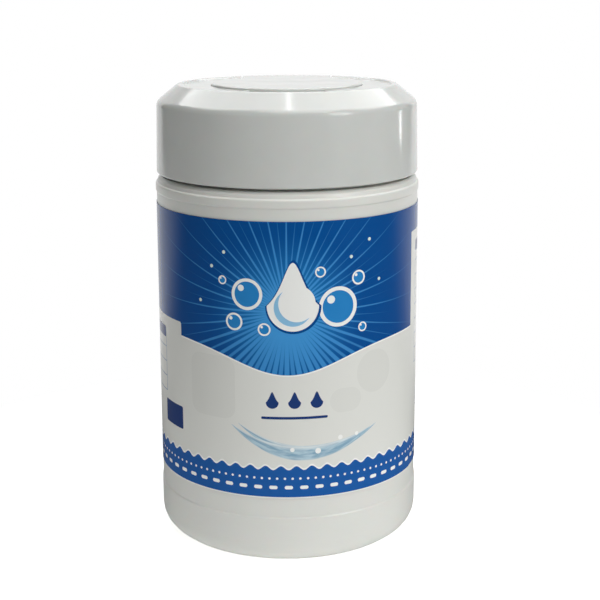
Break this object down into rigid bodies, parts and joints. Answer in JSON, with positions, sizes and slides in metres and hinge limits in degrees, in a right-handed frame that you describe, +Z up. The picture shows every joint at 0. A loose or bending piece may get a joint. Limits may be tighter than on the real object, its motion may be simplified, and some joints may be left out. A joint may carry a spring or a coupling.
{
  "type": "wipes canister",
  "caption": "Round plastic canister of centre-pull wipes with a wrapped label, a chamfered screw cap and a round flip lid over a star-slit opening.",
  "frame": {"origin": "centre of the standing ring, on the surface the canister stands on", "axes": "+Z up along the canister's axis, the label's front and the thumb dip face -Y, the lid's hinge is at +Y"},
  "size_m": [0.112, 0.112, 0.1927],
  "materials": {
    "body_plastic": "satin blown polyethylene, warm white",
    "printed_film": "gloss printed film, blue over white",
    "wipe_cloth": "damp white nonwoven",
    "gasket_foam": "matt foamed polyethylene",
    "cap_plastic": "gloss moulded polypropylene, cool white"
  },
  "bodies": {
    "canister": {"canister_body": "body_plastic", "label": "printed_film", "wipes_roll": "wipe_cloth"},
    "gasket": {"cap_gasket": "gasket_foam"},
    "cap": {"screw_cap": "cap_plastic"},
    "lid": {"flip_lid": "cap_plastic"}
  },
  "joints": [
    {"name": "cap_rise", "type": "slide", "parent": "canister", "child": "gasket", "axis": [0, 0, 1], "range_m": [0, 0.039]},
    {"name": "cap_turn", "type": "hinge", "parent": "gasket", "child": "cap", "pos_m": [0, 0, 0.1558], "axis": [0, 0, 1], "range_deg": [0, 1170]},
    {"name": "lid_swing", "type": "hinge", "parent": "cap", "child": "lid", "pos_m": [0, 0.0385, 0.1904], "axis": [-1, 0, 0], "range_deg": [0, 115]}
  ],
  "couplings": [
    {"joint": "cap_turn", "follows": "cap_rise", "rad_per_m": 523.6}
  ]
}
